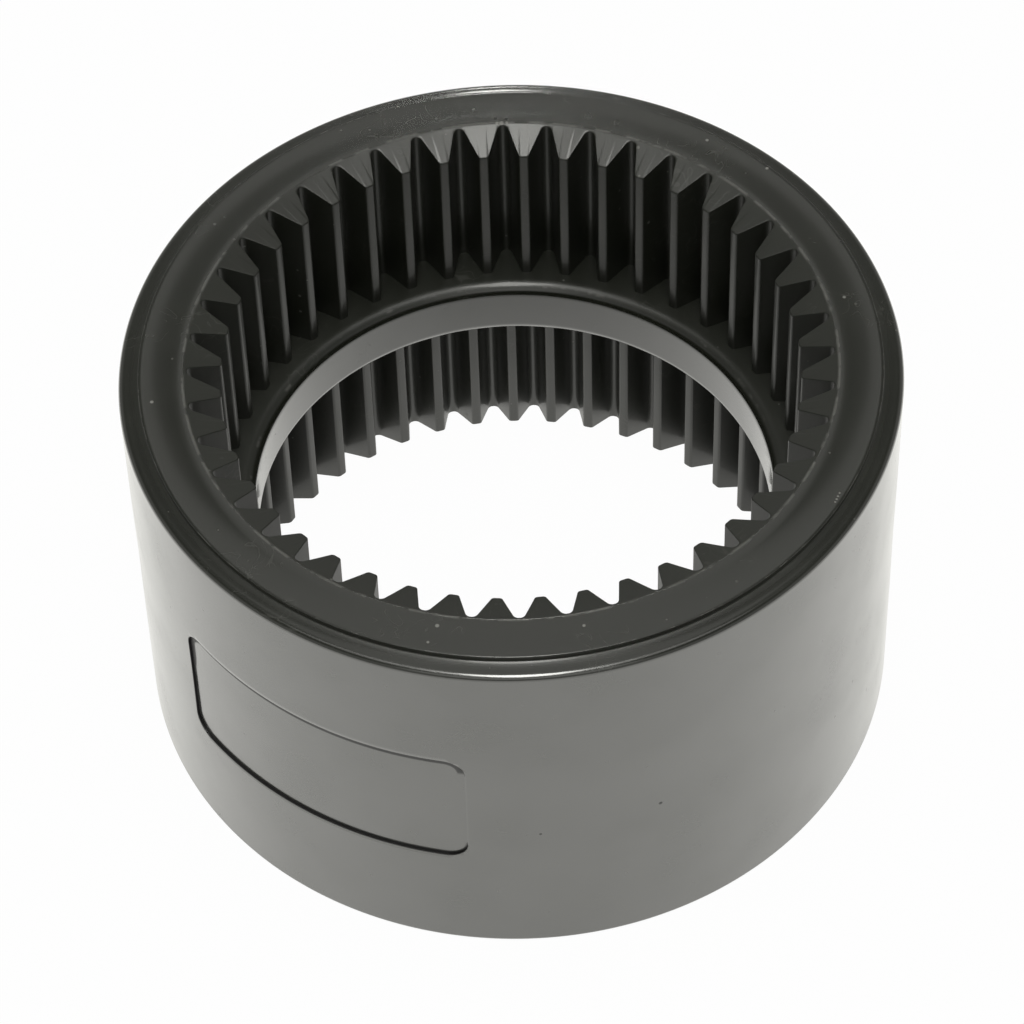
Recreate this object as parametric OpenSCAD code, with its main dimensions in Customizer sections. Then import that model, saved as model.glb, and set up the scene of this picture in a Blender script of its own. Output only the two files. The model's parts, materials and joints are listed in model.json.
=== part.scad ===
// Moulded sleeve of a curved-tooth gear coupling that joins a motor shaft to a hydraulic pump.
// One nylon piece: a thick ring with a row of internal teeth in each end and a plain web between them.
// A steel hub with crowned teeth slides into each end and stops before the web.
// Sizes are in millimetres. The sleeve stands on its lower end face, with its axis on Z.

/* [Ring] */
// Outside diameter of the ring
outer_d = 83; // [74:0.5:110]
// Wall outside the bottoms of the tooth gaps
wall = 7.25; // [5:0.05:16]
// Length over the two end faces
length = 48; // [36:1:80]
// Rounding of the outer edges
edge_r = 0.6; // [0.2:0.1:1]

/* [Upper end face] */
// Width of the low rim outside the raised end face
rim_w = 2.15; // [1:0.05:3]
// Height of the raised end face above its rim
face_step = 0.8; // [0.7:0.05:1.5]
// Rounding of the raised end face's outer edge
face_edge_r = 0.05; // [0.05:0.05:0.3]
// Rounding of the corner where the raised end face stands on its rim
foot_r = 0.2; // [0.1:0.05:0.4]

/* [Teeth] */
// Number of teeth in each row
tooth_count = 44; // [38:1:46]
// Height of a tooth, from the bottom of its gap to its tip
tooth_h = 3.55; // [2.8:0.05:3.7]
// Width of a tooth across its flat tip
tip_w = 1; // [0.7:0.05:1.2]
// Angle between a flank and the middle line of its tooth
flank_angle = 22.8; // [15:0.2:24]
// Depth of the rounded bottom of each gap
gap_round = 0.85; // [0.4:0.05:0.95]
// Turn of the lower row of teeth from the upper row, in degrees
row_turn = 3.6; // [0:0.1:8]

/* [Lead-in at each end] */
// How far the cone reaches outside the gaps
lead_w = 0.3; // [0.2:0.05:1.5]
// Depth of the cone at the tooth tips
lead_h = 1.4; // [0.6:0.1:3]
// Rounding of the edge between the cone and the end face
lead_edge_r = 1.2; // [0.4:0.1:2]

/* [Web] */
// How far the web reaches inside the tooth tips
web_reach = 2.5; // [2:0.1:9]
// Thickness of the web
web_t = 7.3; // [4:0.1:16]
// Rounding of the two edges of the web's bore
web_edge_r = 1.4; // [0.4:0.05:1.8]

/* [Label window] */
// Width of the bare window that is sunk into the side, measured straight across
window_w = 34.2; // [10:0.2:50]
// Height of the window along the axis
window_h = 16.8; // [6:0.2:30]
// Depth of the window
window_depth = 0.3; // [0.1:0.05:1]
// Radius of the window's corners
window_corner_r = 2.2; // [0.5:0.1:3]
// Direction that the window faces, in degrees from X
window_angle = 237.1; // [0:0.1:360]

/* [Hidden] */
$fn = 96;
arc_steps = 4;
small_arc_steps = 2;
clearance = 1;
least_dome = 0.1;
outer_r = outer_d / 2;
root_r = outer_r - wall;
tip_r = root_r - tooth_h;
lead_r = root_r + lead_w;
lead_angle = atan(lead_h / (lead_r - tip_r));
lead_arc_r = lead_r + lead_edge_r * tan(lead_angle / 2);
face_r = outer_r - rim_w;
bore_r = tip_r - web_reach;
rim_z = length - face_step;
web_low = (length - web_t) / 2;
web_high = (length + web_t) / 2;
tooth_pitch = 360 / tooth_count;
nylon_black = [0.11, 0.11, 0.1];

// Points of an arc about a centre, from one angle to another
function arc(centre, radius, from, to, steps = arc_steps) = [
    for (i = [0 : steps])
        let (a = from + (to - from) * i / steps)
        centre + radius * [cos(a), sin(a)]
];

// Half width of a tooth at a radius, as an angle at the axis
function tooth_half(r) = (tip_w / 2 + (r - tip_r) * tan(flank_angle)) / r * 180 / PI;

// Half width of the gap beside it, as an angle at the axis
function gap_half(r) = tooth_pitch / 2 - tooth_half(r);

// Half width of the ellipse that closes a gap and touches both its flanks
function dome_half(shoulder, slope) = sqrt(max(shoulder ^ 2 - (slope * gap_round) ^ 2, least_dome ^ 2));

// A point given by its radius and its angle at the axis
function polar(r, a) = r * [cos(a), sin(a)];

// Outline of one gap, starting inside the tips and running round its closed end
function gap_outline(middle) =
    let (
        shoulder_r = root_r - gap_round,
        inner_r = tip_r - clearance,
        slope = tan(flank_angle) - PI / tooth_count,
        shoulder = gap_half(shoulder_r) * PI / 180 * shoulder_r,
        half_w = dome_half(shoulder, slope),
        start = asin(slope * gap_round / sqrt(half_w ^ 2 + (slope * gap_round) ^ 2))
    )
    concat(
        [polar(inner_r, middle - gap_half(inner_r))],
        [
            for (i = [0 : 2 * arc_steps])
                let (
                    a = (90 - start) * (i / arc_steps - 1),
                    r = shoulder_r + gap_round * cos(a)
                )
                polar(r, middle + half_w * sin(a) / r * 180 / PI)
        ],
        [polar(inner_r, middle + gap_half(inner_r))]
    );

// Half of the ring's section, from the web's bore out to the side and back
function ring_section() = concat(
    arc([bore_r + web_edge_r, web_low + web_edge_r], web_edge_r, 180, 270),
    [
        [tip_r, web_low],
        [tip_r, lead_h]
    ],
    arc([lead_arc_r, lead_edge_r], lead_edge_r, 270 - lead_angle, 270, small_arc_steps),
    arc([outer_r - edge_r, edge_r], edge_r, -90, 0),
    arc([outer_r - edge_r, rim_z - edge_r], edge_r, 0, 90),
    arc([face_r + foot_r, rim_z + foot_r], foot_r, 270, 180, small_arc_steps),
    arc([face_r - face_edge_r, length - face_edge_r], face_edge_r, 0, 90, small_arc_steps),
    arc([lead_arc_r, length - lead_edge_r], lead_edge_r, 90, 90 + lead_angle, small_arc_steps),
    [
        [tip_r, length - lead_h],
        [tip_r, web_high]
    ],
    arc([bore_r + web_edge_r, web_high - web_edge_r], web_edge_r, 90, 180)
);

// Corner points of a rectangle with round corners, about its middle
function round_rect(w, h, r) = concat(
    arc([w / 2 - r, h / 2 - r], r, 0, 90),
    arc([r - w / 2, h / 2 - r], r, 90, 180),
    arc([r - w / 2, r - h / 2], r, 180, 270),
    arc([w / 2 - r, r - h / 2], r, 270, 360)
);

// Space that one toothed hub fills, standing on the web
module tooth_gaps(depth) {
    linear_extrude(depth)
        polygon([for (i = [0 : tooth_count - 1]) each gap_outline(i * tooth_pitch)]);
}

// What is taken off the side to sink the window, with a floor that follows the ring
module window_cut() {
    intersection() {
        difference() {
            cylinder(r = outer_r + clearance, h = length);
            translate([0, 0, -clearance])
                cylinder(r = outer_r - window_depth, h = length + 2 * clearance);
        }
        rotate([0, 0, window_angle])
            translate([0, 0, length / 2])
                rotate([90, 0, 90])
                    linear_extrude(outer_d)
                        polygon(round_rect(window_w, window_h, window_corner_r));
    }
}

module sleeve() {
    color(nylon_black)
        difference() {
            rotate_extrude()
                polygon(ring_section());
            translate([0, 0, web_high])
                tooth_gaps(length - web_high + clearance);
            translate([0, 0, -clearance])
                rotate([0, 0, row_turn])
                    tooth_gaps(web_low + clearance);
            window_cut();
        }
}

sleeve();
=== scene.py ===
import json
import math

import bmesh
import bpy
from bpy.props import FloatProperty, FloatVectorProperty, IntProperty, PointerProperty
from mathutils import Matrix, Vector


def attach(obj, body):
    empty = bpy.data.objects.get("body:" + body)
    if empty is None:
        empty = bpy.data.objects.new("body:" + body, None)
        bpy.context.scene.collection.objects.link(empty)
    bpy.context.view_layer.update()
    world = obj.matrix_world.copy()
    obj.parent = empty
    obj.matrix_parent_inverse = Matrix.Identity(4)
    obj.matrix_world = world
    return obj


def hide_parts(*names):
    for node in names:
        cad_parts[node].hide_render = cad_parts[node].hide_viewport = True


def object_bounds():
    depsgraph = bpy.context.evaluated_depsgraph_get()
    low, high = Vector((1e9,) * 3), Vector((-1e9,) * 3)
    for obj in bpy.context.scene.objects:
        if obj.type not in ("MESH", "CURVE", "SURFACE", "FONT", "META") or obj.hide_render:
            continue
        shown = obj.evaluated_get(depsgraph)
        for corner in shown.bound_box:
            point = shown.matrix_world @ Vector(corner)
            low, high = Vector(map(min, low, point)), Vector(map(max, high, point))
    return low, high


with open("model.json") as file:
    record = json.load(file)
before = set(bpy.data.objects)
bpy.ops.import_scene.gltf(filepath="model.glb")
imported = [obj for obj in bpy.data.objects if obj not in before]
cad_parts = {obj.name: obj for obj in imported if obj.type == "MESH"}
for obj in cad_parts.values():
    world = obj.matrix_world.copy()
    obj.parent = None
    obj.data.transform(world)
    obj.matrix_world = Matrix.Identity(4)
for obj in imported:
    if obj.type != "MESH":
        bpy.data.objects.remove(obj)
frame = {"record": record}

bl_info = {
    "name": "Coupling sleeve",
    "version": (1, 0, 0),
    "blender": (4, 5, 0),
    "location": "3D view, sidebar, Coupling sleeve",
    "description": "Models the moulded sleeve of a gear coupling and the table it stands on",
    "category": "Object",
}

MM = 0.001
NODE = "sleeve"
CAD_LOW, CAD_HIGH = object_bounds()
MOUNTS = {mount["name"]: mount for mount in frame["record"]["mounts"]}
ORIGIN = (0.0, 0.0, 0.0)
WHITE = (1, 1, 1)
WELD = 0.002 * MM


# Properties

class SleeveSizes(bpy.types.PropertyGroup):
    """Sizes of the moulded sleeve"""
    outer_r: FloatProperty(
        name="Outer radius", description="Outside radius of the ring", default=CAD_HIGH.x, unit="LENGTH")
    length: FloatProperty(
        name="Length", description="Length over the two end faces", default=CAD_HIGH.z, unit="LENGTH")
    edge_r: FloatProperty(
        name="Edge rounding", description="Rounding of the outer edges", default=0.6 * MM, unit="LENGTH")
    rim_w: FloatProperty(
        name="Rim width", description="Width of the low rim round the upper face", default=2.15 * MM,
        unit="LENGTH")
    face_step: FloatProperty(
        name="Face step", description="Height of the upper face above its rim", default=0.8 * MM,
        unit="LENGTH")
    face_edge_r: FloatProperty(
        name="Face edge rounding", description="Rounding of the upper face's outer edge",
        default=0.04 * MM, unit="LENGTH")
    foot_r: FloatProperty(
        name="Step foot rounding", description="Rounding at the foot of the step", default=0.1 * MM,
        unit="LENGTH")
    rim_rise: FloatProperty(
        name="Rim rise", description="How much the low rim rises towards the step", default=0.1 * MM,
        unit="LENGTH")
    dish_depth: FloatProperty(
        name="Dish depth", description="How far the upper face has sunk in along its middle",
        default=0.036 * MM, unit="LENGTH")
    sink_depth: FloatProperty(
        name="Sink depth", description="How far the side has sunk in over the thick web",
        default=0.04 * MM, unit="LENGTH")
    wall: FloatProperty(
        name="Wall", description="Wall outside the tooth gaps", default=7.25 * MM, unit="LENGTH")
    bore_r: FloatProperty(
        name="Web bore radius", description="Radius of the bore through the web",
        default=MOUNTS["web_bore"]["dims"]["r_mm"] * MM, unit="LENGTH")
    web_t: FloatProperty(
        name="Web thickness", description="Thickness of the web", default=7.3 * MM, unit="LENGTH")
    web_edge_r: FloatProperty(
        name="Web edge rounding", description="Rounding of the edges of the web's bore",
        default=1.4 * MM, unit="LENGTH")
    columns: IntProperty(
        name="Columns", description="Faces round the plain surfaces of the ring", default=352)
    arc_steps: IntProperty(
        name="Arc steps", description="Faces along a rounded edge", default=6)


class ToothSizes(bpy.types.PropertyGroup):
    """Sizes of the two rows of teeth and of the cones at their mouths"""
    count: IntProperty(name="Teeth", description="Number of teeth in each row", default=44)
    height: FloatProperty(
        name="Tooth height", description="From the bottom of a gap to a tip", default=3.55 * MM,
        unit="LENGTH")
    tip_w: FloatProperty(
        name="Tip width", description="Width of a tooth across its tip", default=1.0 * MM, unit="LENGTH")
    tip_edge_r: FloatProperty(
        name="Tip edge rounding", description="Rounding of the long edges of a tip", default=0.35 * MM,
        unit="LENGTH")
    flank_angle: FloatProperty(
        name="Flank angle", description="Between a flank and the middle of its tooth",
        default=math.radians(22.8), subtype="ANGLE")
    gap_round: FloatProperty(
        name="Gap rounding", description="Depth of the rounded bottom of a gap", default=0.85 * MM,
        unit="LENGTH")
    row_turn: FloatProperty(
        name="Row turn", description="Turn of the lower row of teeth from the upper row",
        default=math.radians(3.6), subtype="ANGLE")
    lead_w: FloatProperty(
        name="Lead-in width", description="How far the cone reaches outside the gaps",
        default=0.3 * MM, unit="LENGTH")
    lead_h: FloatProperty(
        name="Lead-in depth", description="Depth of the cone at the tips", default=1.4 * MM,
        unit="LENGTH")
    lead_edge_r: FloatProperty(
        name="Lead-in edge rounding", description="Rounding between the cone and the face",
        default=1.2 * MM, unit="LENGTH")
    end_edge_r: FloatProperty(
        name="Tooth end rounding", description="Rounding of the edges at the ends of the teeth",
        default=0.14 * MM, unit="LENGTH")


class WindowSizes(bpy.types.PropertyGroup):
    """Sizes of the bare window in the side"""
    width: FloatProperty(
        name="Width", description="Width of the window, straight across", default=34.2 * MM,
        unit="LENGTH")
    height: FloatProperty(
        name="Height", description="Height of the window", default=16.8 * MM, unit="LENGTH")
    depth: FloatProperty(
        name="Depth", description="Depth of the window", default=0.3 * MM, unit="LENGTH")
    corner_r: FloatProperty(
        name="Corners", description="Radius of the window's corners", default=2.2 * MM, unit="LENGTH")
    edge_r: FloatProperty(
        name="Edge rounding", description="Rounding of the window's outer edge", default=0.08 * MM,
        unit="LENGTH")
    direction: FloatProperty(
        name="Direction", description="Direction that the window faces, from X",
        default=math.radians(237.1), subtype="ANGLE")


class NylonFinish(bpy.types.PropertyGroup):
    """Colour and gloss of the nylon"""
    colour: FloatVectorProperty(
        name="Nylon", description="Colour of the black nylon", subtype="COLOR", size=3,
        default=(0.0135, 0.0155, 0.0095))
    # Also colours the painted highlights along the edges and the window's lip
    dust_and_highlight_colour: FloatVectorProperty(
        name="Dust", description="Colour of dust specks and of worn spots", subtype="COLOR", size=3,
        default=(0.3, 0.3, 0.28))
    roughness: FloatProperty(
        name="Roughness", description="Roughness of the moulded skin", default=0.22)
    tooth_roughness: FloatProperty(
        name="Tooth roughness", description="Roughness of the skin on the teeth", default=0.42)
    tooth_sheen: FloatProperty(
        name="Tooth sheen", description="How much of the oily sheen is left on the teeth", default=0.2)
    coat_roughness: FloatProperty(
        name="Sheen roughness", description="Roughness of the oily top sheen", default=0.1)
    ior: FloatProperty(
        name="Index", description="Refractive index of the skin and its sheen", default=1.74)


class StageSettings(bpy.types.PropertyGroup):
    """Colours and light of the table, and the camera's place"""
    table_colour: FloatVectorProperty(
        name="Table", description="Colour of the table", subtype="COLOR", size=3, default=(0.9, 0.9, 0.9))
    light_colour: FloatVectorProperty(
        name="Light", description="Tint of the room, the lamps and the mirrored table", subtype="COLOR",
        size=3, default=(1.0, 0.995, 0.95))
    table_white: FloatProperty(
        name="White table", description="How far the camera sees the table as pure white", default=0.98)
    table_r: FloatProperty(
        name="Table radius", description="Radius of the round table", default=0.42, unit="LENGTH")
    # The shade radius and the three mirrored whites below paint the ring's shade into the table's
    # reflections
    shade_r: FloatProperty(
        name="Shade radius", description="How far the ring's shade reaches on the table",
        default=60 * MM, unit="LENGTH")
    shaded_gloss: FloatProperty(
        name="Shaded table", description="How white the table is mirrored in the ring's shade", default=0.18)
    near_gloss: FloatProperty(
        name="Near table", description="How white the table is mirrored beside the ring", default=0.82)
    open_gloss: FloatProperty(
        name="Open table", description="How white the table is mirrored outside the shade", default=0.93)
    camera_height_angle: FloatProperty(
        name="Camera height", description="Angle of the camera above the table",
        default=math.radians(50.952), subtype="ANGLE")
    camera_distance: FloatProperty(
        name="Camera distance", description="From the camera to the middle of the sleeve",
        default=489.12 * MM, unit="LENGTH")
    camera_lens: FloatProperty(
        name="Lens", description="Focal length of the lens in millimetres", default=156.76)
    camera_turn: FloatProperty(
        name="Camera turn", description="Turn of the camera round the sleeve",
        default=math.radians(-0.139), subtype="ANGLE")
    camera_roll: FloatProperty(
        name="Camera roll", description="Roll of the camera", default=math.radians(-1.767), subtype="ANGLE")
    room_light: FloatProperty(
        name="Room light", description="Brightness of the room round the table", default=0.3)
    ceiling_light: FloatProperty(
        name="Ceiling light", description="Brightness of the room higher up", default=0.08)


# Modelling

def deselect_all():
    if bpy.context.mode != "OBJECT":
        bpy.ops.object.mode_set(mode="OBJECT")
    bpy.ops.object.select_all(action="DESELECT")


def activate(piece, *others):
    """The piece is active, and only it and the others are selected"""
    deselect_all()
    for each in (piece, *others):
        each.select_set(True)
    bpy.context.view_layer.objects.active = piece


def select_edges(piece, wanted):
    """In edit mode, selects the edges that the test wants"""
    bpy.ops.mesh.select_mode(type="EDGE")
    bpy.ops.mesh.select_all(action="DESELECT")
    mesh = bmesh.from_edit_mesh(piece.data)
    mesh.normal_update()
    for edge in mesh.edges:
        if wanted(edge):
            edge.select_set(True)
    bmesh.update_edit_mesh(piece.data)


def edge_middle(edge):
    return (edge.verts[0].co + edge.verts[1].co) / 2


def arc(centre, radius, start, end, steps):
    """Points of an arc in a section, each as (distance from the axis, height)"""
    angles = [math.radians(start + (end - start) * i / steps) for i in range(steps + 1)]
    return [(centre[0] + radius * math.cos(a), centre[1] + radius * math.sin(a)) for a in angles]


def polar(radius, angle, height):
    return Vector((radius * math.cos(angle), radius * math.sin(angle), height))


def revolve(name, section, columns):
    """A circle is extruded and scaled from point to point of the section"""
    deselect_all()
    radius, height = section[0]
    bpy.ops.mesh.primitive_circle_add(vertices=columns, radius=radius, location=(0, 0, height))
    piece = bpy.context.object
    piece.name = piece.data.name = name
    bpy.ops.object.transform_apply(location=True)
    bpy.ops.object.mode_set(mode="EDIT")
    for new_radius, new_height in section[1:]:
        bpy.ops.mesh.extrude_region_move(
            TRANSFORM_OT_translate={"value": (0, 0, new_height - height)})
        scale = new_radius / radius
        bpy.ops.transform.resize(value=(scale, scale, 1), center_override=ORIGIN)
        radius, height = new_radius, new_height
    bpy.ops.object.mode_set(mode="OBJECT")
    return piece


def cut(piece, cutter, operation):
    activate(piece)
    modifier = piece.modifiers.new("cut", "BOOLEAN")
    modifier.object = cutter
    modifier.operation = operation
    modifier.solver = "EXACT"
    bpy.ops.object.modifier_apply(modifier=modifier.name)
    bpy.data.objects.remove(cutter)


# Ring

def seam_r(size):
    """Where the skins of the side and of the teeth meet on the end faces"""
    inset = 5.9 * MM
    return size.outer_r - inset


def side_section(size):
    """From the lower face round the side, over the rim and across the upper face"""
    face_r = size.outer_r - size.rim_w
    rim_z = size.length - size.face_step
    inner_r = seam_r(size)
    edge = size.outer_r - size.edge_r
    small_steps = size.arc_steps // 2
    sink_reach = 9 * MM
    sink_steps, rim_steps, dish_steps = 12, 6, 12
    sink = []
    for i in range(-sink_steps, sink_steps + 1):
        share = i / sink_steps
        depth = size.sink_depth * (1 + math.cos(math.pi * share)) / 2
        sink.append((size.outer_r - depth, size.length / 2 + sink_reach * share))
    foot_x = face_r + size.foot_r
    foot_z = rim_z + size.rim_rise
    rim = []
    for i in range(1, rim_steps):
        share = i / rim_steps
        rim.append((edge + (foot_x - edge) * share, rim_z + size.rim_rise * share ** 2))
    dish_r = face_r - size.face_edge_r
    dish = []
    for i in range(1, dish_steps + 1):
        share = i / dish_steps
        depth = size.dish_depth * 4 * share * (1 - share)
        dish.append((dish_r + (inner_r - dish_r) * share, size.length - depth))
    return [
        (inner_r, 0.0),
        *arc((edge, size.edge_r), size.edge_r, -90, 0, size.arc_steps),
        *sink,
        *arc((edge, rim_z - size.edge_r), size.edge_r, 0, 90, size.arc_steps),
        *rim,
        *arc((foot_x, foot_z + size.foot_r), size.foot_r, 270, 180, small_steps),
        *arc((dish_r, size.length - size.face_edge_r), size.face_edge_r, 0, 90, small_steps),
        *dish,
    ]


def bore_section(size):
    """From the web's upper side down its bore to the lower side"""
    low, high = (size.length - size.web_t) / 2, (size.length + size.web_t) / 2
    middle_r = size.bore_r + size.web_edge_r
    steps = size.arc_steps + 2
    return [
        *arc((middle_r, high - size.web_edge_r), size.web_edge_r, 90, 180, steps),
        *arc((middle_r, low + size.web_edge_r), size.web_edge_r, 180, 270, steps),
    ]


# Teeth

def half_tooth_outline(size, tooth):
    """From the middle of a tip along the flank to the middle of the gap, as (angle, radius)"""
    root_r = size.outer_r - size.wall
    tip_r = root_r - tooth.height
    shoulder_r = root_r - tooth.gap_round
    half_pitch = math.pi / tooth.count
    slope = math.tan(tooth.flank_angle)
    inset = tooth.tip_edge_r * math.tan((math.pi / 2 - tooth.flank_angle) / 2)

    def flank(radius):
        return (tooth.tip_w / 2 + (radius - tip_r) * slope) / radius

    # The ellipse that closes the gap touches the flank
    narrowing = (slope - half_pitch) * tooth.gap_round
    shoulder = (half_pitch - flank(shoulder_r)) * shoulder_r
    dome_half = math.sqrt(shoulder ** 2 - narrowing ** 2)
    start = math.asin(narrowing / shoulder)

    corner = arc(
        (tooth.tip_w / 2 - inset, tooth.tip_edge_r), tooth.tip_edge_r,
        -90, -math.degrees(tooth.flank_angle), size.arc_steps // 2)
    outline = [(0.0, tip_r)]
    outline += [(width / (tip_r + depth), tip_r + depth) for width, depth in corner]
    middle_r = (outline[-1][1] + shoulder_r) / 2
    outline.append((flank(middle_r), middle_r))
    for i in range(size.arc_steps + 1):
        turn = (math.pi / 2 - start) * (1 - i / size.arc_steps)
        radius = shoulder_r + tooth.gap_round * math.cos(turn)
        outline.append((half_pitch - dome_half * math.sin(turn) / radius, radius))
    return outline


def tooth_levels(size, tooth):
    """What each level of the half tooth is, as the (radius, height) of a point of its outline"""
    root_r = size.outer_r - size.wall
    tip_r = root_r - tooth.height
    lead_r = root_r + tooth.lead_w
    web_z = (size.length + size.web_t) / 2
    lead_angle = math.atan2(tooth.lead_h, lead_r - tip_r)
    arc_r = lead_r + tooth.lead_edge_r * math.tan(lead_angle / 2)
    lead_edge = arc(
        (arc_r, size.length - tooth.lead_edge_r), tooth.lead_edge_r,
        90 + math.degrees(lead_angle), 90, size.arc_steps // 2)
    # The skin ends a little way from the rounded edges, and flat faces join it to the others there
    web_flat, face_flat = 0.3 * MM, 0.4 * MM
    web_inner = (size.bore_r + size.web_edge_r + web_flat, web_z)
    face_outer = (arc_r + face_flat, size.length)

    def cone(radius):
        return (radius, size.length - (lead_r - radius) * math.tan(lead_angle))

    return [
        lambda radius: web_inner,
        lambda radius: (radius, web_z),
        cone,
        *(lambda radius, point=point: point for point in lead_edge),
        lambda radius: face_outer,
    ]


def move_vertex(piece, index, place):
    """In edit mode, moves one vertex to a place"""
    bpy.ops.mesh.select_all(action="DESELECT")
    mesh = bmesh.from_edit_mesh(piece.data)
    mesh.verts.ensure_lookup_table()
    vertex = mesh.verts[index]
    vertex.select_set(True)
    step = place - vertex.co
    bpy.ops.transform.translate(value=step)


def model_tooth_row(size, tooth):
    """Half a tooth is drawn and raised level by level, then mirrored and copied round the axis"""
    outline = half_tooth_outline(size, tooth)
    levels = tooth_levels(size, tooth)
    deselect_all()
    bpy.ops.mesh.primitive_plane_add(size=MM, location=ORIGIN)
    piece = bpy.context.object
    piece.name = piece.data.name = "tooth_row"
    bpy.ops.object.mode_set(mode="EDIT")
    bpy.ops.mesh.merge(type="CENTER")
    start_r, start_z = levels[0](0)
    points = [polar(start_r, angle, start_z) for angle, _ in outline]
    bpy.ops.transform.translate(value=points[0])
    for before, after in zip(points, points[1:]):
        bpy.ops.mesh.extrude_region_move(TRANSFORM_OT_translate={"value": after - before})
    bpy.ops.mesh.select_all(action="SELECT")
    for level in levels[1:]:
        bpy.ops.mesh.extrude_region_move(TRANSFORM_OT_translate={"value": ORIGIN})
        mesh = bmesh.from_edit_mesh(piece.data)
        newest = [vertex for vertex in mesh.verts if vertex.select]
        order = [v.index for v in sorted(newest, key=lambda v: math.atan2(v.co.y, v.co.x))]
        for index, (angle, outline_r) in zip(order, outline):
            radius, height = level(outline_r)
            move_vertex(piece, index, polar(radius, angle, height))
        mesh = bmesh.from_edit_mesh(piece.data)
        mesh.verts.ensure_lookup_table()
        for index in order:
            mesh.verts[index].select_set(True)
        mesh.select_flush(True)
        bmesh.update_edit_mesh(piece.data)
    bpy.ops.mesh.select_all(action="SELECT")
    bpy.ops.mesh.symmetrize(direction="POSITIVE_Y", threshold=WELD)
    cone = levels[2]

    def at_tooth_end(edge):
        return all(abs(v.co.z - cone(v.co.xy.length)[1]) < WELD for v in edge.verts) and all(
            v.co.xy.length < size.outer_r - size.wall + WELD for v in edge.verts)

    select_edges(piece, at_tooth_end)
    bpy.ops.mesh.bevel(offset=tooth.end_edge_r, segments=3, affect="EDGES")
    bpy.ops.object.mode_set(mode="OBJECT")
    pitch = math.tau / tooth.count
    piece.rotation_euler.z = pitch / 2
    activate(piece)
    bpy.ops.object.transform_apply(rotation=True)
    bpy.ops.object.mode_set(mode="EDIT")
    bpy.ops.mesh.select_all(action="SELECT")
    bpy.ops.mesh.spin(
        steps=tooth.count - 1, dupli=True, angle=pitch * (tooth.count - 1),
        center=ORIGIN, axis=(0, 0, 1))
    bpy.ops.mesh.select_all(action="SELECT")
    bpy.ops.mesh.remove_doubles(threshold=WELD)
    bpy.ops.object.mode_set(mode="OBJECT")
    return piece


def turn_over(row, size, tooth):
    """The lower row is a copy of the upper one, mirrored and turned by the turn between the rows"""
    lower = row.copy()
    lower.data = row.data.copy()
    bpy.context.collection.objects.link(lower)
    activate(lower)
    bpy.ops.object.mode_set(mode="EDIT")
    bpy.ops.mesh.select_all(action="SELECT")
    bpy.ops.transform.resize(value=(1, 1, -1), center_override=(0, 0, size.length / 2))
    bpy.ops.object.mode_set(mode="OBJECT")
    lower.rotation_euler.z = tooth.row_turn
    bpy.ops.object.transform_apply(rotation=True)
    return lower


def bridge_flat(piece, height, inner_r, outer_r):
    """The two open loops at one height, between two radii, are joined by flat faces"""
    near = 0.01 * MM
    lift = 0.1 * MM
    middle_r = (inner_r + outer_r) / 2

    def opening(edge, level):
        return (
            edge.is_boundary
            and abs(edge_middle(edge).z - level) < near
            and inner_r < edge_middle(edge).xy.length < outer_r)

    # The outer loop is lifted while they are joined, which keeps the faces from turning over
    select_edges(piece, lambda edge: opening(edge, height) and edge_middle(edge).xy.length > middle_r)
    bpy.ops.transform.translate(value=(0, 0, lift))
    select_edges(piece, lambda edge: opening(edge, height) or opening(edge, height + lift))
    bpy.ops.mesh.bridge_edge_loops()
    select_edges(piece, lambda edge: (
        abs(edge.verts[0].co.z - height - lift) < near
        and abs(edge.verts[1].co.z - height - lift) < near
        and middle_r < edge_middle(edge).xy.length < outer_r))
    bpy.ops.transform.translate(value=(0, 0, -lift))


def join_sleeve(size, side, bore, upper_row, lower_row):
    """The four skins are joined through the flat faces between them"""
    activate(side, bore, upper_row, lower_row)
    bpy.ops.object.join()
    bpy.ops.object.mode_set(mode="EDIT")
    web_r = size.bore_r + size.web_edge_r
    face_r = seam_r(size)
    # Each band holds the two open loops and no other
    web_band = (web_r - 0.2 * MM, web_r + 0.5 * MM)
    face_band = (face_r - 0.7 * MM, face_r + 0.2 * MM)
    for height in ((size.length - size.web_t) / 2, (size.length + size.web_t) / 2):
        bridge_flat(side, height, *web_band)
    for height in (0.0, size.length):
        bridge_flat(side, height, *face_band)
    bpy.ops.mesh.select_all(action="SELECT")
    bpy.ops.mesh.remove_doubles(threshold=WELD)
    bpy.ops.mesh.normals_make_consistent(inside=False)
    bpy.ops.object.mode_set(mode="OBJECT")
    side.name = side.data.name = "sleeve_body"
    return side


# Window

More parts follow.
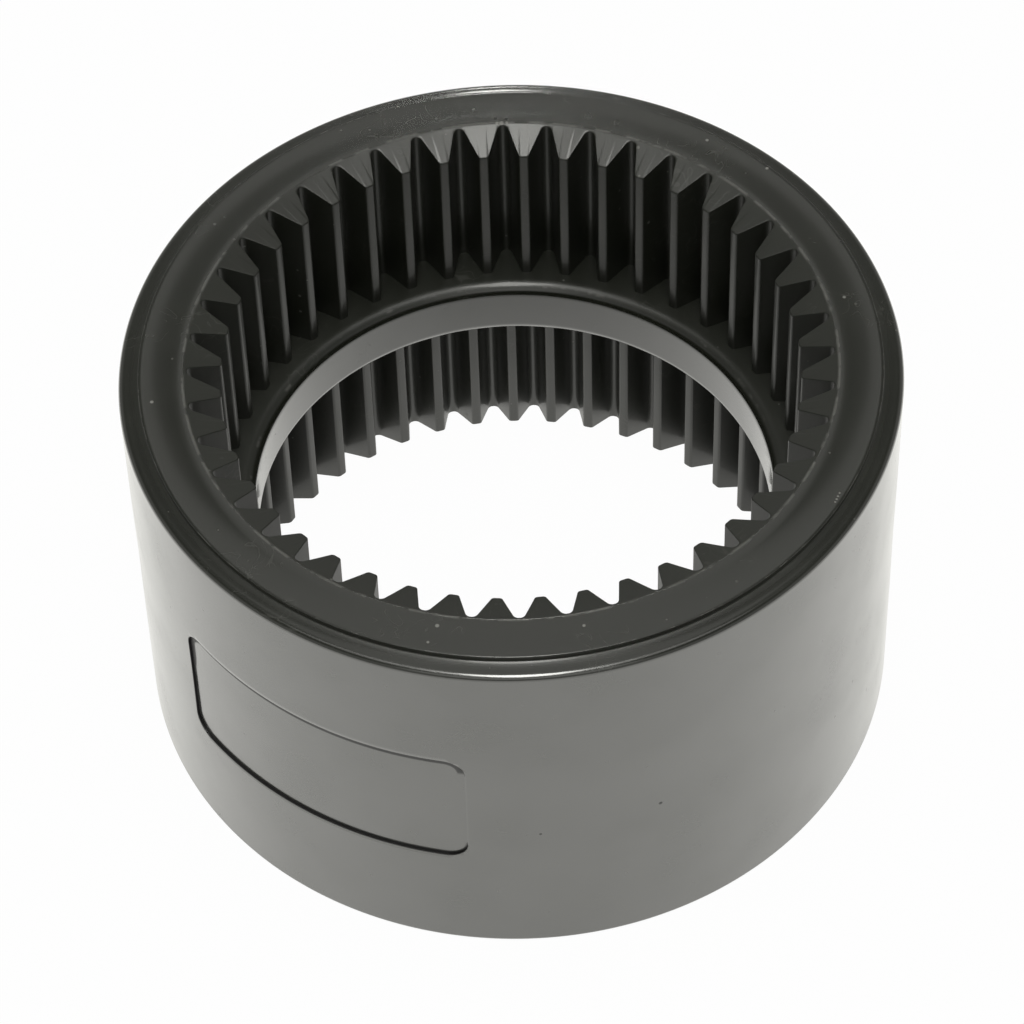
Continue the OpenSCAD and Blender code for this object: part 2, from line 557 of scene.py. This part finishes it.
def model_window_cutter(size, window):
    """A plate with round corners, hollowed to the curve of the window's floor"""
    deselect_all()
    clearance = 1 * MM
    sagitta = size.outer_r - math.sqrt(size.outer_r ** 2 - window.width ** 2 / 4)
    reach = sagitta + 2 * clearance
    middle = polar(size.outer_r + clearance - reach / 2, window.direction, size.length / 2)
    bpy.ops.mesh.primitive_cube_add(
        size=1, location=middle, rotation=(0, 0, window.direction),
        scale=(reach, window.width, window.height))
    plate = bpy.context.object
    outward = Vector((math.cos(window.direction), math.sin(window.direction), 0))
    bpy.ops.object.transform_apply(location=True, rotation=True, scale=True)
    bpy.ops.object.mode_set(mode="EDIT")
    select_edges(plate, lambda edge: abs((edge.verts[1].co - edge.verts[0].co).dot(outward)) > reach / 2)
    bpy.ops.mesh.bevel(offset=window.corner_r, segments=size.arc_steps * 2, affect="EDGES")
    floor_r = size.outer_r - window.depth
    core = revolve("core", [(floor_r, -size.length), (floor_r, 2 * size.length)], size.columns)
    activate(core)
    bpy.ops.object.mode_set(mode="EDIT")
    bpy.ops.mesh.select_all(action="SELECT")
    bpy.ops.mesh.fill_holes(sides=0)
    bpy.ops.mesh.select_all(action="SELECT")
    bpy.ops.mesh.normals_make_consistent(inside=False)
    bpy.ops.object.mode_set(mode="OBJECT")
    cut(plate, core, "DIFFERENCE")
    return plate


def sink_window(piece, size, window):
    """The window is cut into the side, and its outer edge is rounded"""
    cut(piece, model_window_cutter(size, window), "DIFFERENCE")
    activate(piece)
    bpy.ops.object.mode_set(mode="EDIT")
    near = 0.01 * MM
    sharp = math.radians(40)
    outside = size.outer_r - size.sink_depth - 2 * near
    reach = window.height / 2 + near
    select_edges(piece, lambda edge: (
        abs(edge_middle(edge).z - size.length / 2) < reach
        and all(vertex.co.xy.length > outside for vertex in edge.verts)
        and edge.is_manifold
        and edge.calc_face_angle() > sharp))
    bpy.ops.mesh.bevel(offset=window.edge_r, segments=2, affect="EDGES")
    bpy.ops.object.mode_set(mode="OBJECT")


def smooth(piece):
    """Rounded surfaces shade round and flat ones stay flat"""
    smooth_angle = math.radians(35)
    activate(piece)
    bpy.ops.object.shade_smooth_by_angle(angle=smooth_angle)
    modifier = piece.modifiers.new("flat faces", "WEIGHTED_NORMAL")
    modifier.keep_sharp = True
    modifier.weight = 50
    bpy.ops.object.modifier_apply(modifier=modifier.name)


# Finish

def feed(tree, socket, value):
    """Gives a socket a link or a plain value"""
    if isinstance(value, bpy.types.NodeSocket):
        tree.links.new(value, socket)
    else:
        socket.default_value = value


def math_node(tree, operation, *values):
    node = tree.nodes.new("ShaderNodeMath")
    node.operation = operation
    for socket, value in zip(node.inputs, values):
        feed(tree, socket, value)
    return node.outputs["Value"]


def vector_node(tree, operation, *values):
    node = tree.nodes.new("ShaderNodeVectorMath")
    node.operation = operation
    for socket, value in zip(node.inputs, values):
        feed(tree, socket, value)
    return node.outputs["Value" if operation in ("LENGTH", "DISTANCE") else "Vector"]


def map_range(tree, value, start, end, low, high, curve="LINEAR"):
    """Low at the start, high at the end, and on the way between them by the curve"""
    node = tree.nodes.new("ShaderNodeMapRange")
    node.interpolation_type = curve
    labels = ("Value", "From Min", "From Max", "To Min", "To Max")
    for label, given in zip(labels, (value, start, end, low, high)):
        feed(tree, node.inputs[label], given)
    return node.outputs["Result"]


def ramp(tree, value, start, end):
    """0 at the start and 1 at the end, eased at both"""
    return map_range(tree, value, start, end, 0.0, 1.0, "SMOOTHSTEP")


def spread(tree, value, low, high):
    """Spreads a mask from 0 to 1 over other values"""
    return map_range(tree, value, 0.0, 1.0, low, high)


def noise(tree, place, scale, detail=2.0, roughness=0.5, distortion=0.0):
    node = tree.nodes.new("ShaderNodeTexNoise")
    feed(tree, node.inputs["Vector"], place)
    feed(tree, node.inputs["Scale"], scale)
    node.inputs["Detail"].default_value = detail
    node.inputs["Roughness"].default_value = roughness
    node.inputs["Distortion"].default_value = distortion
    return node.outputs["Fac"]


def mix_colours(tree, factor, low, high):
    node = tree.nodes.new("ShaderNodeMix")
    node.data_type = "RGBA"
    factor_socket, low_socket, high_socket = node.inputs[0], node.inputs[6], node.inputs[7]
    feed(tree, factor_socket, factor)
    feed(tree, low_socket, low)
    feed(tree, high_socket, high)
    return node.outputs[2]


def split_axes(tree, vector):
    """The sockets X, Y and Z of a vector"""
    node = tree.nodes.new("ShaderNodeSeparateXYZ")
    feed(tree, node.inputs["Vector"], vector)
    return node.outputs


def around_axis(tree, place):
    """Distance from the axis, and height"""
    flat = vector_node(tree, "MULTIPLY", place, (1, 1, 0))
    return vector_node(tree, "LENGTH", flat), split_axes(tree, place)["Z"]


def mix_shaders(tree, factor, first, second):
    """The first shader where the factor is 0, and the second where it is 1"""
    node = tree.nodes.new("ShaderNodeMixShader")
    for socket, value in zip(node.inputs, (factor, first, second)):
        feed(tree, socket, value)
    return node.outputs["Shader"]


def glow(tree, kind, colour, strength=1.0):
    """The shader of a surface or a room that glows evenly"""
    node = tree.nodes.new(kind)
    feed(tree, node.inputs["Color"], (*colour, 1))
    feed(tree, node.inputs["Strength"], strength)
    return node.outputs[0]


def new_group(name, inputs, outputs):
    """An effect with named sockets. Returns its tree, its inputs and a function that sets its outputs"""
    tree = bpy.data.node_groups.new(name, "ShaderNodeTree")
    for label, kind, value in inputs:
        socket = tree.interface.new_socket(name=label, in_out="INPUT", socket_type=kind)
        if value is not None:
            socket.default_value = value
    for label, kind in outputs:
        tree.interface.new_socket(name=label, in_out="OUTPUT", socket_type=kind)
    start = tree.nodes.new("NodeGroupInput")
    end = tree.nodes.new("NodeGroupOutput")

    def put_out(**values):
        for label, value in values.items():
            tree.links.new(value, end.inputs[label])

    return tree, start.outputs, put_out


def use(tree, group, output, **values):
    """Places a group in a material and feeds it"""
    node = tree.nodes.new("ShaderNodeGroup")
    node.node_tree = group
    for label, value in values.items():
        feed(tree, node.inputs[label], value)
    return node.outputs[output]


def moulded_skin_group():
    """Height of the skin: fine grain, and slow waves where the melt flowed"""
    tree, given, put_out = new_group(
        "moulded_skin",
        [("Place", "NodeSocketVector", None), ("Grain", "NodeSocketFloat", 0.5),
         ("Waves", "NodeSocketFloat", 0.5)],
        [("Height", "NodeSocketFloat")])
    grain_scale, wave_scale = 2600, 110
    grain = noise(tree, given["Place"], grain_scale, detail=1)
    waves = noise(tree, given["Place"], wave_scale, detail=1, roughness=0.4)
    height = math_node(tree, "MULTIPLY", grain, given["Grain"])
    put_out(Height=math_node(tree, "MULTIPLY_ADD", waves, given["Waves"], height))
    return tree


def edge_wear_and_highlight_group():
    """A line along a round edge, broken into patches: worn lines that are partly painted highlights, and
    dust in a corner
    """
    tree, given, put_out = new_group(
        "edge_wear_and_highlight",
        [("Place", "NodeSocketVector", None), ("Radius", "NodeSocketFloat", 0.03),
         ("Level", "NodeSocketFloat", 0.04), ("Width", "NodeSocketFloat", 0.0003),
         ("Patches", "NodeSocketFloat", 0.5), ("Start", "NodeSocketFloat", 0.5)],
        [("Mask", "NodeSocketFloat")])
    radius, level = around_axis(tree, given["Place"])
    aside = math_node(tree, "SUBTRACT", radius, given["Radius"])
    above = math_node(tree, "SUBTRACT", level, given["Level"])
    away = math_node(tree, "SQRT", math_node(
        tree, "ADD", math_node(tree, "MULTIPLY", aside, aside), math_node(tree, "MULTIPLY", above, above)))
    line = ramp(tree, away, given["Width"], 0.0)
    fade = 0.14
    kept = ramp(tree, given["Patches"], given["Start"], math_node(tree, "ADD", given["Start"], fade))
    put_out(Mask=math_node(tree, "MULTIPLY", line, kept))
    return tree


def dust_specks_group():
    """Small specks of dust, in some of the cells of a pattern"""
    tree, given, put_out = new_group(
        "dust_specks",
        [("Place", "NodeSocketVector", None), ("Cells", "NodeSocketFloat", 400.0),
         ("Size", "NodeSocketFloat", 0.2), ("Share", "NodeSocketFloat", 0.1)],
        [("Mask", "NodeSocketFloat")])
    cells = tree.nodes.new("ShaderNodeTexVoronoi")
    feed(tree, cells.inputs["Vector"], given["Place"])
    feed(tree, cells.inputs["Scale"], given["Cells"])
    pick = tree.nodes.new("ShaderNodeSeparateColor")
    tree.links.new(cells.outputs["Color"], pick.inputs["Color"])
    chosen = math_node(tree, "LESS_THAN", pick.outputs["Red"], given["Share"])
    least, core = 0.3, 0.5
    size = math_node(tree, "MULTIPLY", given["Size"], math_node(tree, "ADD", pick.outputs["Green"], least))
    spot = ramp(tree, cells.outputs["Distance"], size, math_node(tree, "MULTIPLY", size, core))
    put_out(Mask=math_node(tree, "MULTIPLY", spot, chosen))
    return tree


def scuffs_group():
    """Faint rubbed streaks that run round the sleeve"""
    tree, given, put_out = new_group(
        "scuffs",
        [("Place", "NodeSocketVector", None), ("Scale", "NodeSocketFloat", 300.0),
         ("Thickness", "NodeSocketFloat", 0.02), ("Patches", "NodeSocketFloat", 0.5)],
        [("Mask", "NodeSocketFloat")])
    lines = noise(tree, given["Place"], given["Scale"], detail=1, distortion=1.2)
    noise_middle = 0.5
    offset = math_node(tree, "ABSOLUTE", math_node(tree, "SUBTRACT", lines, noise_middle))
    line = ramp(tree, offset, given["Thickness"], 0.0)
    patch_start, patch_full = 0.52, 0.66
    kept = ramp(tree, given["Patches"], patch_start, patch_full)
    put_out(Mask=math_node(tree, "MULTIPLY", line, kept))
    return tree


def mark_group():
    """One small mark at a place"""
    tree, given, put_out = new_group(
        "mark",
        [("Place", "NodeSocketVector", None), ("Middle", "NodeSocketVector", None),
         ("Size", "NodeSocketFloat", 0.0004)],
        [("Mask", "NodeSocketFloat")])
    away = vector_node(tree, "DISTANCE", given["Place"], given["Middle"])
    core = 0.4
    put_out(Mask=ramp(tree, away, given["Size"], math_node(tree, "MULTIPLY", given["Size"], core)))
    return tree


def most_of(tree, masks):
    """The strongest of several masks"""
    total = masks[0]
    for mask in masks[1:]:
        total = math_node(tree, "MAXIMUM", total, mask)
    return total


def window_border(tree, place, window, middle_z):
    """Distance from the border, below zero inside it, and masks of the part that gets painted shade and of
    the upper half
    """
    turned = tree.nodes.new("ShaderNodeMapping")
    turned.inputs["Location"].default_value = (0, 0, -middle_z)
    turned.inputs["Rotation"].default_value = (0, 0, -window.direction)
    feed(tree, turned.inputs["Vector"], place)
    across = vector_node(tree, "ABSOLUTE", turned.outputs["Vector"])
    half = (0, window.width / 2 - window.corner_r, window.height / 2 - window.corner_r)
    beyond = vector_node(tree, "MULTIPLY", vector_node(tree, "SUBTRACT", across, half), (0, 1, 1))
    corner = vector_node(tree, "LENGTH", vector_node(tree, "MAXIMUM", beyond, (0, 0, 0)))
    past = split_axes(tree, beyond)
    inside = math_node(tree, "MINIMUM", math_node(tree, "MAXIMUM", past["Y"], past["Z"]), 0.0)
    distance = math_node(tree, "SUBTRACT", math_node(tree, "ADD", corner, inside), window.corner_r)
    # The distance takes no notice of depth, so the inside and the far side are left out
    near_side = 30 * MM
    sides = split_axes(tree, turned.outputs["Vector"])
    facing = math_node(tree, "GREATER_THAN", sides["X"], near_side)
    # The wall at the window's right end gets no painted shade between its corners
    half_w, half_h = window.width / 2, window.height / 2
    corners = ramp(tree, math_node(tree, "ABSOLUTE", sides["Z"]), half_h - 2.5 * MM, half_h - 1.9 * MM)
    shaded_part = math_node(tree, "MAXIMUM", corners, ramp(
        tree, sides["Y"], half_w - 1.5 * MM, half_w - 2.2 * MM))
    upper = ramp(tree, sides["Z"], 0.0, half_h / 2)
    return distance, math_node(tree, "MULTIPLY", facing, shaded_part), upper


def black_nylon(finish, size, tooth, window):
    """Glossy moulded skin, duller on the teeth, with flow marks, worn edges that are partly painted
    highlights, dust, a few nicks, painted shade in the window and a painted highlight at its lip
    """
    material = bpy.data.materials.new("black_nylon")
    material.use_nodes = True
    tree = material.node_tree
    shader = tree.nodes["Principled BSDF"]
    place = tree.nodes.new("ShaderNodeTexCoord").outputs["Object"]
    radius, _ = around_axis(tree, place)
    middle_z = size.length / 2
    face_r = size.outer_r - size.rim_w
    lead_r = size.outer_r - size.wall + tooth.lead_w

    # Where the teeth and the web's edges are
    teeth = math_node(
        tree, "MULTIPLY",
        ramp(tree, radius, size.bore_r + 0.05 * MM, size.bore_r + 0.5 * MM),
        ramp(tree, radius, lead_r + 0.15 * MM, lead_r - 0.1 * MM))

    # Worn edges that are partly painted highlights, dust and nicks, and the window's painted shade and
    # highlight
    edge_wear_and_highlight, dust_specks, scuffs, mark = (
        edge_wear_and_highlight_group(), dust_specks_group(), scuffs_group(), mark_group())
    small_patches = noise(tree, place, 420, detail=2, roughness=0.6)
    wide_patches = noise(tree, place, 100, detail=3, roughness=0.55)
    # Pale lines along the lead-in edge, the upper face's edge and the web's edge: wear, and partly painted
    # highlights of these rounded edges
    lead_line = use(
        tree, edge_wear_and_highlight, "Mask", Place=place, Radius=lead_r + 0.1 * MM, Level=size.length,
        Width=0.26 * MM, Patches=small_patches, Start=0.42)
    rim_line = use(
        tree, edge_wear_and_highlight, "Mask", Place=place, Radius=face_r, Level=size.length,
        Width=0.16 * MM, Patches=small_patches, Start=0.5)
    bore_line = use(
        tree, edge_wear_and_highlight, "Mask", Place=place, Radius=size.bore_r + 0.6 * MM,
        Level=middle_z + size.web_t / 2 - 0.2 * MM, Width=0.3 * MM, Patches=small_patches, Start=0.56)
    # Dust lies all along the foot of the step
    corner = use(
        tree, edge_wear_and_highlight, "Mask", Place=place, Radius=face_r + 0.2 * MM,
        Level=size.length - size.face_step, Width=0.7 * MM, Patches=1.0, Start=0.5)
    specks = use(tree, dust_specks, "Mask", Place=place, Cells=950.0, Size=0.2, Share=0.07)
    specks = math_node(tree, "MULTIPLY", specks, spread(tree, teeth, 0.3, 0.5))
    rubbed = use(
        tree, scuffs, "Mask", Place=place, Scale=330.0, Thickness=0.018, Patches=wide_patches)
    spots = [
        use(tree, mark, "Mask", Place=place, Middle=polar(r * MM, math.radians(angle), size.length),
            Size=across * MM)
        for r, angle, across in finish_spots()]
    nicks = [
        use(tree, mark, "Mask", Place=place, Middle=polar(r * MM, math.radians(angle), z * MM),
            Size=across * MM)
        for r, angle, z, across in finish_nicks()]
    border, facing, upper = window_border(tree, place, window, middle_z)
    # Painted shade lies in the corner of the window's floor, wider under its upper wall
    painted_shade_start = spread(tree, upper, -0.42 * MM, -0.95 * MM)
    painted_shade_full = spread(tree, upper, -0.1 * MM, -0.7 * MM)
    border_start, border_full, lip_highlight_full, lip_highlight_end = 0.02 * MM, 0.14 * MM, 0.16 * MM, 0.34 * MM
    painted_shade = math_node(tree, "MULTIPLY", facing, math_node(
        tree, "MULTIPLY",
        ramp(tree, border, painted_shade_start, painted_shade_full), ramp(tree, border, border_full, border_start)))
    # A painted highlight just outside the window's border, along its lower half and fading out above the
    # middle
    lip_highlight = math_node(tree, "MULTIPLY", facing, math_node(
        tree, "MULTIPLY",
        ramp(tree, border, border_start, border_full), ramp(tree, border, lip_highlight_end, lip_highlight_full)))
    # The window's painted shade and the nicks darken the colour
    dark = most_of(tree, [painted_shade, *nicks])
    # How pale each worn place is made, as dust, and as painted highlight along the edges and the window's
    # lip
    dust_and_highlight_places = (
        (lead_line, 0.35), (rim_line, 0.2), (bore_line, 0.3), (rubbed, 0.1),
        (lip_highlight, spread(tree, upper, 0.25, 0.0)))
    dust_and_highlights = most_of(tree, [
        *(math_node(tree, "MULTIPLY", mask, share) for mask, share in dust_and_highlight_places), specks, *spots])

    # Colour
    pale = tuple(1.25 * part for part in finish.colour)
    deep = tuple(0.8 * part for part in finish.colour)
    # Near black for the window's painted shade and for the nicks
    painted_shade_colour = (0.002, 0.002, 0.002, 1)
    shaded = mix_colours(tree, wide_patches, (*deep, 1), (*pale, 1))
    # Dust, wear and painted highlights pale the colour
    dusted_and_highlighted = mix_colours(tree, dust_and_highlights, shaded, (*finish.dust_and_highlight_colour, 1))
    feed(tree, shader.inputs["Base Color"], mix_colours(tree, dark, dusted_and_highlighted, painted_shade_colour))

    # Gloss
    blotch_start, blotch_full = 0.35, 0.75
    blotches = ramp(tree, wide_patches, blotch_start, blotch_full)
    # The places of dust, wear, nicks, painted shade and painted highlight are duller
    dirt_and_painted_light = most_of(tree, [dust_and_highlights, dark])
    rough = spread(tree, teeth, finish.roughness, finish.tooth_roughness)
    coat = spread(tree, teeth, 1.0, finish.tooth_sheen)
    # What each mask adds to the roughness, and how much of the sheen it leaves
    for mask, added, left in ((blotches, 0.05, 0.9), (corner, 0.12, 0.3), (dirt_and_painted_light, 0.35, 0.1)):
        rough = math_node(tree, "MULTIPLY_ADD", mask, added, rough)
        coat = math_node(tree, "MULTIPLY", coat, spread(tree, mask, 1.0, left))
    feed(tree, shader.inputs["Roughness"], rough)
    feed(tree, shader.inputs["Coat Weight"], coat)
    shader.inputs["IOR"].default_value = finish.ior
    shader.inputs["Coat Roughness"].default_value = finish.coat_roughness
    shader.inputs["Coat IOR"].default_value = finish.ior

    # Skin
    height = use(tree, moulded_skin_group(), "Height", Place=place, Grain=0.25, Waves=1.0)
    bump = tree.nodes.new("ShaderNodeBump")
    bump.inputs["Distance"].default_value = 0.02 * MM
    tree.links.new(height, bump.inputs["Height"])
    tree.links.new(bump.outputs["Normal"], shader.inputs["Normal"])
    return material


def finish_spots():
    """Light specks and a scratch on the upper end, as (distance from the axis, angle, size) in mm"""
    specks = [(38.0, 186.4, 0.26), (41.0, 188.9, 0.2), (36.0, 256.7, 0.28), (38.2, 256.0, 0.2),
              (36.2, 280.3, 0.22), (36.5, 11.5, 0.24), (38.2, 54.1, 0.24), (39.0, 42.6, 0.24)]
    # A burr at the mouth of the rearmost gap
    specks += [(34.6, 91.0, 0.26), (34.55, 90.2, 0.34), (34.6, 89.2, 0.22)]
    scratch = [(38.8, 327.7, 0.14), (38.75, 328.3, 0.16), (38.7, 328.9, 0.16), (38.65, 329.6, 0.14)]
    return specks + scratch


def finish_nicks():
    """Dark nicks in the side and the upper face, as (distance, angle, height, size) in mm"""
    side = [(41.5, 290.0, 21.4, 0.3), (41.5, 272.1, 20.0, 0.22)]
    face = [(35.3, 91.2, 48.0, 0.22), (35.1, 89.3, 48.0, 0.24), (39.1, 17.0, 48.0, 0.16),
            (39.1, 23.0, 48.0, 0.18), (39.2, 43.2, 48.0, 0.2)]
    return side + face


# Stage

def table_paper(settings):
    """White to the camera, nearly white in reflections but for a painted shade in and near the ring, and it
    keeps a faint shadow
    """
    material = bpy.data.materials.new("table_paper")
    material.use_nodes = True
    tree = material.node_tree
    tree.nodes.clear()
    output = tree.nodes.new("ShaderNodeOutputMaterial")
    place = tree.nodes.new("ShaderNodeTexCoord").outputs["Object"]
    distance = vector_node(tree, "LENGTH", place)
    # Inside the ring the table's mirrored white holds a painted shade, for the shade of the ring's front
    shade_y, lit_y = -3 * MM, 26 * MM
    inside = map_range(
        tree, split_axes(tree, place)["Y"], shade_y, lit_y, settings.shaded_gloss, settings.near_gloss)
    # Outside the ring the painted shade darkens it towards the ring
    outside = map_range(
        tree, distance, CAD_HIGH.x, settings.shade_r, settings.near_gloss, settings.open_gloss)
    shade = tree.nodes.new("ShaderNodeMix")
    feed(tree, shade.inputs["Factor"], math_node(tree, "GREATER_THAN", distance, CAD_HIGH.x))
    feed(tree, shade.inputs["A"], inside)
    feed(tree, shade.inputs["B"], outside)
    ray = tree.nodes.new("ShaderNodeLightPath").outputs
    for_gloss = math_node(tree, "MULTIPLY", ray["Is Glossy Ray"], shade.outputs["Result"])
    for_camera = math_node(tree, "MULTIPLY", ray["Is Camera Ray"], settings.table_white)
    paper = tree.nodes.new("ShaderNodeBsdfDiffuse")
    paper.inputs["Color"].default_value = (*settings.table_colour, 1)
    mirrored = glow(tree, "ShaderNodeEmission", settings.light_colour)
    white = glow(tree, "ShaderNodeEmission", WHITE)
    in_gloss = mix_shaders(tree, for_gloss, paper.outputs["BSDF"], mirrored)
    in_view = mix_shaders(tree, for_camera, in_gloss, white)
    tree.links.new(in_view, output.inputs["Surface"])
    return material


def add_table(settings):
    deselect_all()
    bpy.ops.mesh.primitive_circle_add(
        vertices=96, radius=settings.table_r, fill_type="NGON", location=ORIGIN)
    table = bpy.context.object
    table.name = table.data.name = "table"
    table.data.materials.append(table_paper(settings))


def add_room(settings):
    """The camera sees a white room, and the sleeve is lit and mirrored by a dim one"""
    room = bpy.data.worlds.new("room")
    bpy.context.scene.world = room
    room.use_nodes = True
    tree = room.node_tree
    tree.nodes.clear()
    output = tree.nodes.new("ShaderNodeOutputWorld")
    # The room darkens towards its ceiling, between two heights of the direction looked in
    wall_top, ceiling_edge = 0.5, 0.78
    direction = tree.nodes.new("ShaderNodeTexCoord").outputs["Generated"]
    brightness = map_range(
        tree, split_axes(tree, direction)["Z"], wall_top, ceiling_edge,
        settings.room_light, settings.ceiling_light, "SMOOTHSTEP")
    dim = glow(tree, "ShaderNodeBackground", settings.light_colour, brightness)
    white = glow(tree, "ShaderNodeBackground", WHITE)
    ray = tree.nodes.new("ShaderNodeLightPath").outputs
    room_shader = mix_shaders(tree, ray["Is Camera Ray"], dim, white)
    tree.links.new(room_shader, output.inputs["Surface"])


# Each lamp's azimuth and angle above the table, width and height in metres, and brightness
LAMPS = {
    "strip": (180, 85, 0.2, 0.75, 8.5),
    "ceiling": (0, 88, 0.8, 0.8, 0.5),
    "front": (180, 45, 0.9, 0.7, 0.5),
    "back": (0, 56, 0.24, 0.45, 0.3),
    "glint": (-0.2, 38.2, 0.04, 0.03, 24),
}


def add_lamp(settings, name, azimuth, height_angle, width, height, brightness):
    """An oval soft lamp a metre away, aimed at the sleeve. Azimuth 0 is behind it and 90 is to its right"""
    deselect_all()
    around, above = math.radians(azimuth), math.radians(height_angle)
    direction = Vector((
        math.sin(around) * math.cos(above), math.cos(around) * math.cos(above), math.sin(above)))
    aim_height = 30 * MM
    aim = Vector((0, 0, aim_height))
    turn = direction.to_track_quat("Z", "Y").to_euler()
    bpy.ops.object.light_add(type="AREA", location=aim + direction, rotation=turn)
    lamp = bpy.context.object
    lamp.name = lamp.data.name = name
    lamp.data.color = settings.light_colour
    lamp.data.shape = "ELLIPSE"
    lamp.data.size = width
    lamp.data.size_y = height
    area = math.pi * width * height / 4
    lamp.data.energy = brightness * math.pi * area


def add_camera(settings):
    deselect_all()
    bpy.ops.object.camera_add(location=ORIGIN)
    camera = bpy.context.object
    camera.name = camera.data.name = "camera"
    camera.data.sensor_width = 36
    camera.data.lens = settings.camera_lens
    camera.data.clip_start = 0.01
    camera.data.clip_end = 20
    angle = settings.camera_height_angle
    back = settings.camera_distance
    middle_z = CAD_HIGH.z / 2
    # The sleeve doesn't stand quite in the middle of the picture
    aim_right, aim_up = 0.00072, -0.00205
    camera.matrix_world = (
        Matrix.Rotation(settings.camera_turn, 4, "Z")
        @ Matrix.Translation((0, -back * math.cos(angle), back * math.sin(angle) + middle_z))
        @ Matrix.Rotation(math.pi / 2 - angle, 4, "X")
        @ Matrix.Rotation(aim_right, 4, "Y")
        @ Matrix.Rotation(aim_up, 4, "X")
        @ Matrix.Rotation(settings.camera_roll, 4, "Z"))
    bpy.context.scene.camera = camera


# Operators

class COUPLING_OT_sleeve(bpy.types.Operator):
    """Models the sleeve in one piece: ring, two rows of teeth, web and bare window"""
    bl_idname = "coupling.sleeve"
    bl_label = "Sleeve"

    def execute(self, context):
        scene = context.scene
        size, tooth, window = scene.sleeve_sizes, scene.tooth_sizes, scene.window_sizes
        side = revolve("side", side_section(size), size.columns)
        bore = revolve("bore", bore_section(size), size.columns)
        upper_row = model_tooth_row(size, tooth)
        lower_row = turn_over(upper_row, size, tooth)
        body = join_sleeve(size, side, bore, upper_row, lower_row)
        sink_window(body, size, window)
        smooth(body)
        body.data.materials.append(black_nylon(scene.nylon_finish, size, tooth, window))
        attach(body, "root")
        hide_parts(NODE)
        return {"FINISHED"}


class COUPLING_OT_stage(bpy.types.Operator):
    """Adds the table, the room, the lamps and the camera"""
    bl_idname = "coupling.stage"
    bl_label = "Stage"

    def execute(self, context):
        settings = context.scene.stage_settings
        add_table(settings)
        add_room(settings)
        for name, numbers in LAMPS.items():
            add_lamp(settings, name, *numbers)
        add_camera(settings)
        context.scene.view_settings.view_transform = "Standard"
        return {"FINISHED"}


class COUPLING_PT_sidebar(bpy.types.Panel):
    """Lists the steps that make the sleeve and its stage"""
    bl_idname = "COUPLING_PT_sidebar"
    bl_label = "Coupling sleeve"
    bl_space_type = "VIEW_3D"
    bl_region_type = "UI"
    bl_category = "Coupling sleeve"

    def draw(self, context):
        for operator in OPERATORS:
            self.layout.operator(operator.bl_idname)


OPERATORS = (COUPLING_OT_sleeve, COUPLING_OT_stage)
GROUPS = {
    "sleeve_sizes": SleeveSizes,
    "tooth_sizes": ToothSizes,
    "window_sizes": WindowSizes,
    "nylon_finish": NylonFinish,
    "stage_settings": StageSettings,
}


def register():
    for cls in (*GROUPS.values(), *OPERATORS, COUPLING_PT_sidebar):
        bpy.utils.register_class(cls)
    for name, group in GROUPS.items():
        setattr(bpy.types.Scene, name, PointerProperty(type=group))


def unregister():
    for name in GROUPS:
        delattr(bpy.types.Scene, name)
    for cls in (COUPLING_PT_sidebar, *reversed(OPERATORS), *reversed(GROUPS.values())):
        bpy.utils.unregister_class(cls)


def main():
    register()
    bpy.ops.coupling.sleeve()
    bpy.ops.coupling.stage()


if __name__ == "__main__":
    main()
